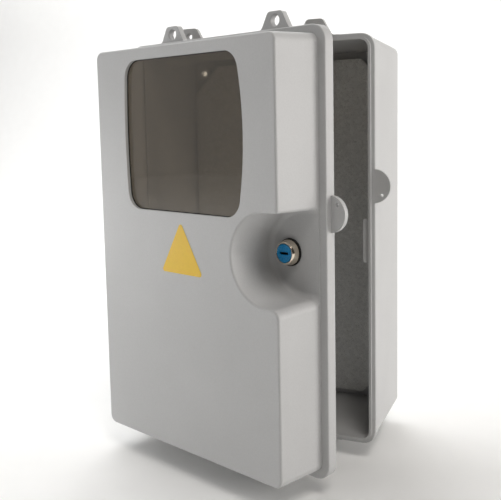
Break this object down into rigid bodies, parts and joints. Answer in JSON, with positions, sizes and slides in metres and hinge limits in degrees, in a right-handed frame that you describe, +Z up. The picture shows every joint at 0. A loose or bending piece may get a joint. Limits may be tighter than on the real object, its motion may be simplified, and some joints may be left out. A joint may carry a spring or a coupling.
{
  "type": "electric meter box",
  "caption": "Moulded wall box for an electricity meter: deep hinged door with smoked window, cam lock in a scooped recess, sealing lugs and steel mounting plate.",
  "frame": {"origin": "centre of the flat back face, in the plane of the wall", "axes": "+Y into the wall, +X to the right seen from the front, +Z up; the door faces -Y"},
  "size_m": [0.2815, 0.2499, 0.432],
  "materials": {
    "case_plastic": "moulded, finely eroded, light grey",
    "smoked_pane": "clear with a smoke tint",
    "galvanised_sheet": "galvanised, speckled",
    "black_rubber": "matt",
    "grey_foam": "fine closed-cell foam",
    "chrome": "polished",
    "blue_plastic": "satin",
    "zinc_steel": "zinc plated",
    "brass": "turned"
  },
  "bodies": {
    "base": {"back_box": "case_plastic", "mounting_plate": "galvanised_sheet", "plate_washers": "zinc_steel", "plate_screws": "zinc_steel", "hinge_pin_upper": "zinc_steel", "hinge_pin_lower": "zinc_steel"},
    "door": {"door_cover": "case_plastic", "window_pane": "smoked_pane", "window_gasket": "black_rubber", "window_washers": "zinc_steel", "window_screws": "zinc_steel", "door_gasket": "grey_foam", "lock_body": "chrome", "lock_seal_ring": "black_rubber", "lock_nut": "zinc_steel"},
    "lock_turn": {"lock_plug": "zinc_steel", "lock_cap": "blue_plastic", "lock_wafers": "brass", "lock_cam": "zinc_steel", "cam_washer": "zinc_steel", "cam_screw": "zinc_steel"}
  },
  "joints": [
    {"name": "door_hinge", "type": "hinge", "parent": "base", "child": "door", "pos_m": [-0.1332, -0.11065, 0], "axis": [0, 0, -1], "range_deg": [-18.3, 131.7]},
    {"name": "lock_turn", "type": "hinge", "parent": "door", "child": "lock_turn", "pos_m": [0.07071, -0.19952, 0.00319], "axis": [-0.314, -0.9494, 0], "range_deg": [0, 90]}
  ]
}
